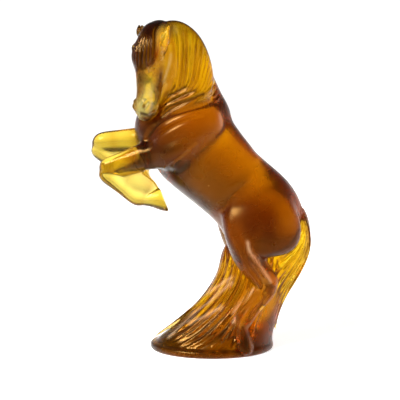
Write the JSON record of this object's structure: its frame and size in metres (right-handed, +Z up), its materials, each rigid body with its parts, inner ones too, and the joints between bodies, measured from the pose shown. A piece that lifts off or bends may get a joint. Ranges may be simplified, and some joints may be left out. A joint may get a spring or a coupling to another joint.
{
  "type": "crystal horse figurine",
  "caption": "Rearing horse cast in solid amber crystal, head turned to the side, hind legs in relief on a swept plume that rises from an oval foot",
  "frame": {"origin": "centre of the flat underside of the oval foot, on the surface that the figurine stands on", "axes": "+Z is up; the horse faces -X with its head turned towards -Y, so -Y is the horse's left side and +Y its right side"},
  "size_m": [0.2018, 0.084, 0.2996],
  "materials": {
    "amber_crystal": "satin, acid-matted casting with brighter polished ridges"
  },
  "bodies": {
    "root": {"base_plinth": "amber_crystal", "torso": "amber_crystal", "neck": "amber_crystal", "head": "amber_crystal", "forelock": "amber_crystal", "left_ear": "amber_crystal", "right_ear": "amber_crystal", "left_mane": "amber_crystal", "right_mane": "amber_crystal", "left_shoulder": "amber_crystal", "right_shoulder": "amber_crystal", "left_forearm": "amber_crystal", "right_forearm": "amber_crystal", "left_fore_cannon": "amber_crystal", "right_fore_cannon": "amber_crystal", "left_fore_hoof": "amber_crystal", "right_fore_hoof": "amber_crystal", "left_thigh": "amber_crystal", "right_thigh": "amber_crystal", "left_hind_cannon": "amber_crystal", "right_hind_cannon": "amber_crystal", "left_hind_hoof": "amber_crystal", "right_hind_hoof": "amber_crystal", "plume": "amber_crystal", "tail": "amber_crystal"}
  },
  "joints": []
}
